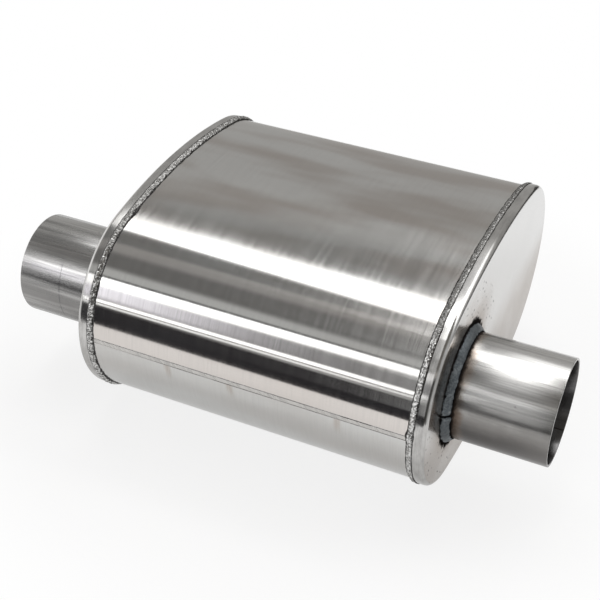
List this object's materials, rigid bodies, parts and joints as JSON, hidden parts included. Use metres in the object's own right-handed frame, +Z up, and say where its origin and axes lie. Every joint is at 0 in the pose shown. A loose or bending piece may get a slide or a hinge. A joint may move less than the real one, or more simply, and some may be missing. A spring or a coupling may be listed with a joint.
{
  "type": "exhaust muffler",
  "caption": "Oval straight-through exhaust muffler of brushed stainless steel, with welded end caps and in-line offset inlet and outlet pipes round a perforated core.",
  "frame": {"origin": "on the surface that the end caps' lower edges stand on, below the middle of the overall length and of the case's width", "axes": "+X along the pipe axis from inlet to outlet, +Y across the case away from the pipes, +Z up through the case's flat depth"},
  "size_m": [0.341, 0.2378, 0.1348],
  "materials": {
    "shell_steel": "brushed round the case",
    "seam_weld": "planished weld",
    "cap_steel": "satin sheet",
    "pipe_steel": "drawn lengthwise",
    "core_steel": "perforated mill sheet",
    "steel_wool": "matted steel wool",
    "glass_fibre": "packed glass fibre",
    "cap_weld": "bright rippled bead",
    "pipe_weld": "oxidised grey bead"
  },
  "bodies": {
    "root": {"outer_shell": "shell_steel", "shell_seam_weld": "seam_weld", "inlet_end_cap": "cap_steel", "outlet_end_cap": "cap_steel", "inlet_pipe": "pipe_steel", "outlet_pipe": "pipe_steel", "perforated_core": "core_steel", "steel_wool_sleeve": "steel_wool", "glass_packing": "glass_fibre", "inlet_cap_weld": "cap_weld", "outlet_cap_weld": "cap_weld", "inlet_pipe_weld": "pipe_weld", "outlet_pipe_weld": "pipe_weld", "inlet_core_weld": "pipe_weld", "outlet_core_weld": "pipe_weld"}
  },
  "joints": []
}
